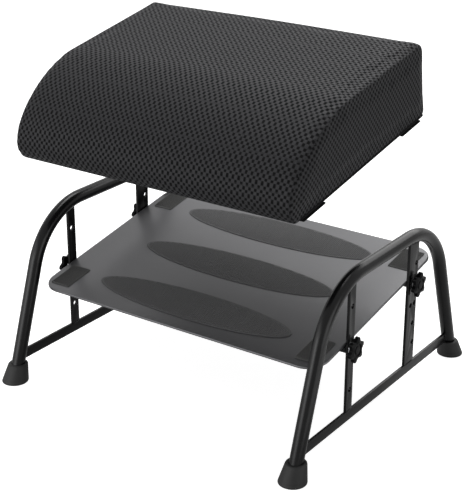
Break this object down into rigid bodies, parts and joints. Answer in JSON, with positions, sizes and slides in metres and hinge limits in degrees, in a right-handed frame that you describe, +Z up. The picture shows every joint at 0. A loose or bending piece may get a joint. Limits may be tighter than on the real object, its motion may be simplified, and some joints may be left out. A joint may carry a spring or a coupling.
{
  "type": "under-desk footrest",
  "caption": "Footrest with two bent-tube side frames, a tilting steel platform clamped by star knobs, and a lift-off foam cushion.",
  "frame": {"origin": "on the floor, midway between the four feet", "axes": "+X to the user's right, +Y away from the user towards the platform's high end, +Z up"},
  "size_m": [0.5096, 0.4758, 0.4973],
  "materials": {
    "black_powder_coat": "gloss",
    "grey_powder_coat": "satin",
    "zinc_steel": "zinc plated",
    "black_rubber": "moulded, matt",
    "tread_rubber": "finely ribbed, matt",
    "black_nylon": "moulded",
    "hook_tape": "hook tape",
    "loop_tape": "loop tape",
    "mesh_fabric": "knitted spacer mesh",
    "base_cloth": "plain woven",
    "foam": "open-cell foam"
  },
  "bodies": {
    "frame": {"left_arch_tube": "black_powder_coat", "right_arch_tube": "black_powder_coat", "left_lower_bar": "black_powder_coat", "right_lower_bar": "black_powder_coat", "front_left_upright": "black_powder_coat", "front_right_upright": "black_powder_coat", "rear_left_upright": "black_powder_coat", "rear_right_upright": "black_powder_coat", "front_left_foot": "black_rubber", "front_right_foot": "black_rubber", "rear_left_foot": "black_rubber", "rear_right_foot": "black_rubber", "front_left_washer": "zinc_steel", "front_right_washer": "zinc_steel"},
    "platform": {"platform_sheet": "grey_powder_coat", "front_cross_tube": "black_powder_coat", "rear_cross_tube": "black_powder_coat", "front_left_thread_plug": "zinc_steel", "front_right_thread_plug": "zinc_steel", "rear_left_thread_plug": "zinc_steel", "rear_right_thread_plug": "zinc_steel", "front_tread": "tread_rubber", "middle_tread": "tread_rubber", "rear_tread": "tread_rubber", "front_left_hook_patch": "hook_tape", "front_right_hook_patch": "hook_tape", "rear_left_hook_patch": "hook_tape", "rear_right_hook_patch": "hook_tape"},
    "cushion": {"cushion_cover": "mesh_fabric", "cushion_foam": "foam", "cushion_base_panel": "base_cloth", "front_left_loop_patch": "loop_tape", "front_right_loop_patch": "loop_tape", "rear_left_loop_patch": "loop_tape", "rear_right_loop_patch": "loop_tape"},
    "front_left_screw": {"front_left_knob": "black_nylon", "front_left_stud": "zinc_steel"},
    "front_right_screw": {"front_right_knob": "black_nylon", "front_right_stud": "zinc_steel"},
    "rear_left_washer": {"rear_left_washer": "zinc_steel"},
    "rear_right_washer": {"rear_right_washer": "zinc_steel"},
    "rear_left_screw": {"rear_left_knob": "black_nylon", "rear_left_stud": "zinc_steel"},
    "rear_right_screw": {"rear_right_knob": "black_nylon", "rear_right_stud": "zinc_steel"}
  },
  "joints": [
    {"name": "platform_tilt", "type": "hinge", "parent": "frame", "child": "platform", "pos_m": [0, -0.086, 0.1325], "axis": [1, 0, 0], "range_deg": [-10, 0]},
    {"name": "cushion_lift", "type": "slide", "parent": "platform", "child": "cushion", "axis": [0, -0.1736, 0.9848], "range_m": [-0.204, 0]},
    {"name": "front_left_knob_turn", "type": "hinge", "parent": "platform", "child": "front_left_screw", "pos_m": [-0.2465, -0.086, 0.1325], "axis": [-1, 0, 0], "continuous": true},
    {"name": "front_right_knob_turn", "type": "hinge", "parent": "platform", "child": "front_right_screw", "pos_m": [0.2465, -0.086, 0.1325], "axis": [1, 0, 0], "continuous": true},
    {"name": "rear_left_draw", "type": "slide", "parent": "frame", "child": "rear_left_washer", "axis": [-1, 0, 0], "range_m": [0, 0.0381]},
    {"name": "rear_right_draw", "type": "slide", "parent": "frame", "child": "rear_right_washer", "axis": [1, 0, 0], "range_m": [0, 0.0381]},
    {"name": "rear_left_knob_turn", "type": "hinge", "parent": "rear_left_washer", "child": "rear_left_screw", "pos_m": [-0.2465, 0.08437, 0.16254], "axis": [-1, 0, 0], "continuous": true},
    {"name": "rear_right_knob_turn", "type": "hinge", "parent": "rear_right_washer", "child": "rear_right_screw", "pos_m": [0.2465, 0.08437, 0.16254], "axis": [1, 0, 0], "continuous": true}
  ],
  "couplings": [
    {"joint": "rear_left_draw", "follows": "platform_tilt", "m_per_rad": -0.218},
    {"joint": "rear_right_draw", "follows": "platform_tilt", "m_per_rad": -0.218}
  ]
}
